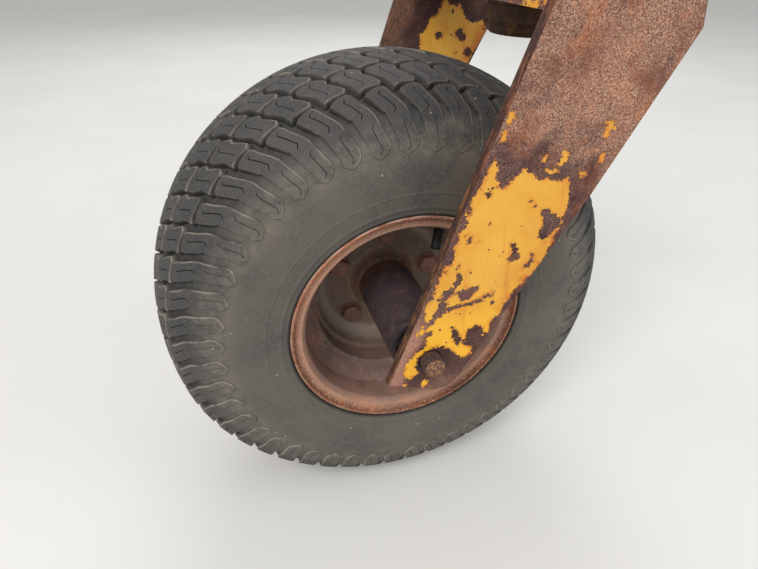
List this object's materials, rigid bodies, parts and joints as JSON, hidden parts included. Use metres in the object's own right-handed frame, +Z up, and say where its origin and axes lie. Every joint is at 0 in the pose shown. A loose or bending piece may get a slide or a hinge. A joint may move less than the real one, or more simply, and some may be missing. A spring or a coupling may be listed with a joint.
{
  "type": "caster wheel and fork of a wheel rake",
  "caption": "Trailing caster for a wheel rake: turf-tread tyre on a bolted rim, long hub, two flat tapered fork arms, crown and upright spindle in a bolt-on pivot sleeve.",
  "frame": {"origin": "centre of the pivot plate's front face, where it bolts to the machine", "axes": "+X out of the plate's face, ahead; +Z up along the spindle; +Y along the wheel's axle, to the far side"},
  "size_m": [0.4572, 0.3235, 0.7362],
  "materials": {
    "frame_paint": "worn blue-grey paint with rust",
    "fork_paint": "flaking yellow paint over brown rust",
    "rusty_steel": "rough dark brown rust",
    "bright_steel": "turned, greasy",
    "rim_rust": "orange-brown surface rust",
    "bronze": "dull",
    "tyre_rubber": "matt, dusty",
    "seal_rubber": "matt black"
  },
  "bodies": {
    "mount": {"pivot_sleeve": "frame_paint", "bush_lower": "bronze", "bush_upper": "bronze", "mount_plate": "frame_paint", "web_lower": "frame_paint", "web_upper": "frame_paint"},
    "fork": {"arm_near": "fork_paint", "arm_far": "fork_paint", "crown_plate": "fork_paint", "crown_closer_front": "fork_paint", "crown_closer_rear": "fork_paint", "crown_boss": "fork_paint", "crown_rib_near": "fork_paint", "crown_rib_far": "fork_paint", "spindle": "bright_steel", "thrust_washer": "bright_steel", "retaining_washer": "rusty_steel", "spindle_nut": "rusty_steel", "axle_bolt": "rusty_steel", "axle_washer": "rusty_steel", "spacer_near": "rusty_steel", "spacer_far": "rusty_steel"},
    "wheel": {"tyre": "tyre_rubber", "rim": "rim_rust", "valve_stem": "seal_rubber", "wheel_disc": "rim_rust", "hub_tube": "rusty_steel", "hub_flange": "rusty_steel", "bearing_near": "bright_steel", "bearing_far": "bright_steel", "seal_near": "seal_rubber", "seal_far": "seal_rubber", "wheel_bolts": "rusty_steel", "wheel_nuts": "rusty_steel"}
  },
  "joints": [
    {"name": "fork_swivel", "type": "hinge", "parent": "mount", "child": "fork", "pos_m": [-0.0728, 0, 0], "axis": [0, 0, 1], "continuous": true},
    {"name": "wheel_spin", "type": "hinge", "parent": "fork", "child": "wheel", "pos_m": [-0.2208, 0, -0.3923], "axis": [0, 1, 0], "continuous": true}
  ]
}
